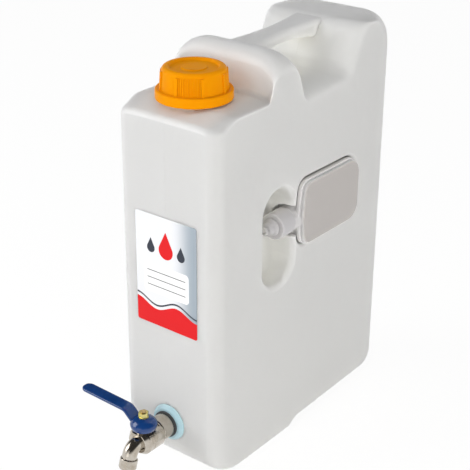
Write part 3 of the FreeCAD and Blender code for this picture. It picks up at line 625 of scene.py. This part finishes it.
# Soap bottle: a small blow-moulded bottle that snaps into the side recess, with a screw cap and a nozzle.
# Its wide face is the cloudy grey of its filling, and its thick rims and the caps are paler.
soap_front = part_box("soap_bottle")[1][0]
face_start = 1.2 * mm
face_full = 0.3 * mm
soap_rim_colour = (0.60, 0.59, 0.60, 1.0)
soap_face_colour = (0.455, 0.43, 0.42, 1.0)
soap_plastic, tree, shader = new_finish(
    "soap_plastic",
    subsurface_weight=1.0,
    subsurface_radius=(1.0, 1.0, 1.0),
    subsurface_scale=6.0 * mm,
    specular_ior_level=0.4,
)
soap_place = put(tree, "ShaderNodeSeparateXYZ", {0: put(tree, "ShaderNodeTexCoord").outputs["Object"]})
on_face = put(tree, "ShaderNodeMapRange", {
    "Value": soap_place.outputs["X"],
    "From Min": soap_front - face_start,
    "From Max": soap_front - face_full,
}, interpolation_type="SMOOTHSTEP").outputs[0]
lay(tree, shader, moulded_skin, {
    "Colour": blended(tree, on_face, soap_rim_colour, soap_face_colour),
    "Tone Drift": 0.06,
    "Cloud Scale": 30.0,
    "Roughness": 0.42,
    "Roughness Drift": 0.2,
    "Grain Scale": 1300.0,
    "Grain Share": 0.04,
}, 0.8 * mm)
dress(soap_plastic, "soap_bottle")

soap_cap_white, tree, shader = new_finish(
    "soap_cap_white",
    subsurface_weight=0.8,
    subsurface_radius=(1.0, 1.0, 1.0),
    subsurface_scale=3.0 * mm,
    specular_ior_level=0.45,
)
lay(tree, shader, moulded_skin, {
    "Colour": (0.48, 0.47, 0.485, 1.0),
    "Tone Drift": 0.06,
    "Cloud Scale": 60.0,
    "Roughness": 0.36,
    "Roughness Drift": 0.2,
    "Grain Scale": 1500.0,
    "Grain Share": 0.06,
}, 0.4 * mm)
dress(soap_cap_white, "soap_cap", "soap_spout")

# Studio: a pale floor that shows white to the lens and keeps a soft shadow, an even white room,
# a large soft lamp at the front left, a weak one in front and a warmer fill at the right.
floor_reach = 6.0
floor_colour = (0.82, 0.82, 0.82, 1.0)
floor_white = 1.03
floor_own_light = 0.88
room_low_light = 0.80
room_high_light = 0.53
gloss_low_height = 0.10
gloss_high_height = 0.38
gloss_high_light = 0.05
lamp_size = 1.2
lit_point = (0.0, 0.0, 0.2)
mesh = bpy.data.meshes.new("studio_floor")
floor_corners = [
    (-floor_reach, -floor_reach, 0),
    (floor_reach, -floor_reach, 0),
    (floor_reach, floor_reach, 0),
    (-floor_reach, floor_reach, 0),
]
mesh.from_pydata(floor_corners, [], [(0, 1, 2, 3)])
studio_floor = bpy.data.objects.new("studio_floor", mesh)
bpy.context.scene.collection.objects.link(studio_floor)
pale_floor, tree, shader = new_finish(
    "pale_floor",
    base_color=floor_colour,
    roughness=0.9,
    specular_ior_level=0.0,
)
mesh.materials.append(pale_floor)


def seen_directly(tree):
    """1 for rays from the lens, from gloss and through clear material, else 0."""
    path = put(tree, "ShaderNodeLightPath").outputs
    return reckon(
        tree,
        "MAXIMUM",
        path["Is Camera Ray"],
        reckon(tree, "MAXIMUM", path["Is Glossy Ray"], path["Is Transmission Ray"]),
    )


own_light = put(tree, "ShaderNodeEmission", {"Color": (1, 1, 1, 1), "Strength": floor_white})
own_share = reckon(tree, "MULTIPLY", seen_directly(tree), floor_own_light)
floor_mix = put(tree, "ShaderNodeMixShader", {0: own_share, 1: shader.outputs[0], 2: own_light.outputs[0]})
tree.links.new(floor_mix.outputs[0], tree.nodes["Material Output"].inputs["Surface"])

world = bpy.data.worlds.new("white_room")
bpy.context.scene.world = world
world.use_nodes = True
tree = world.node_tree
direction = put(tree, "ShaderNodeSeparateXYZ", {0: put(tree, "ShaderNodeTexCoord").outputs["Generated"]})
soft_light = put(tree, "ShaderNodeMapRange", {
    "Value": direction.outputs["Z"],
    "To Min": room_low_light,
    "To Max": room_high_light,
}).outputs[0]
gloss_light = put(tree, "ShaderNodeMapRange", {
    "Value": direction.outputs["Z"],
    "From Min": gloss_low_height,
    "From Max": gloss_high_height,
    "To Min": 1.0,
    "To Max": gloss_high_light,
}, interpolation_type="SMOOTHSTEP").outputs[0]
ray = put(tree, "ShaderNodeLightPath").outputs
lens_ray = reckon(tree, "MAXIMUM", ray["Is Camera Ray"], ray["Is Transmission Ray"])
room_strength = put(tree, "ShaderNodeMix", {0: ray["Is Glossy Ray"], 2: soft_light, 3: gloss_light})
room_strength = put(tree, "ShaderNodeMix", {0: lens_ray, 2: room_strength.outputs[0], 3: 1.0})
tree.links.new(room_strength.outputs[0], tree.nodes["Background"].inputs["Strength"])
tree.nodes["Background"].inputs["Color"].default_value = (1, 1, 1, 1)


def soft_lamp(name, place, power):
    """A square area lamp at a place, turned towards the point that all lamps light."""
    light = bpy.data.lights.new(name, "AREA")
    light.size = lamp_size
    light.energy = power
    lamp = bpy.data.objects.new(name, light)
    lamp.location = place
    lamp.rotation_euler = (Vector(lit_point) - Vector(place)).to_track_quat("-Z", "Y").to_euler()
    bpy.context.scene.collection.objects.link(lamp)
    return lamp


soft_lamp("left_lamp", (-1.4, -1.3, 1.15), 20.0)
soft_lamp("front_lamp", (0.2, -2.2, 0.6), 3.5)
right_lamp = soft_lamp("right_lamp", (1.75, -1.25, 0.6), 24.0)
right_lamp.visible_glossy = False
right_lamp.data.color = (1.0, 0.985, 0.94)

# Camera: a long lens in front of the canister, to its right and above it.
# Its place, aim and roll are read from the photo's edges.
photo_side = 470
focal_pixels = 1197.6
sensor_width = 36.0
camera_turn = math.radians(38.04)
camera_rise = math.radians(25.04)
camera_roll = math.radians(0.37)
camera_distance = 1199.4 * mm
camera_aim = Vector((-18.7, -14.6, 195.2)) * mm
back = Vector((
    math.sin(camera_turn) * math.cos(camera_rise),
    -math.cos(camera_turn) * math.cos(camera_rise),
    math.sin(camera_rise),
))
level = Vector((math.cos(camera_turn), math.sin(camera_turn), 0.0))
upright = back.cross(level)
image_right = level * math.cos(camera_roll) + upright * math.sin(camera_roll)
image_up = upright * math.cos(camera_roll) - level * math.sin(camera_roll)
lens = bpy.data.cameras.new("photo_camera")
lens.sensor_width = sensor_width
lens.lens = focal_pixels / photo_side * sensor_width
camera = bpy.data.objects.new("photo_camera", lens)
columns = Matrix((image_right, image_up, back)).transposed().to_4x4()
camera.matrix_world = Matrix.Translation(camera_aim + back * camera_distance) @ columns
bpy.context.scene.collection.objects.link(camera)
bpy.context.scene.camera = camera
bpy.context.scene.view_settings.view_transform = "Standard"
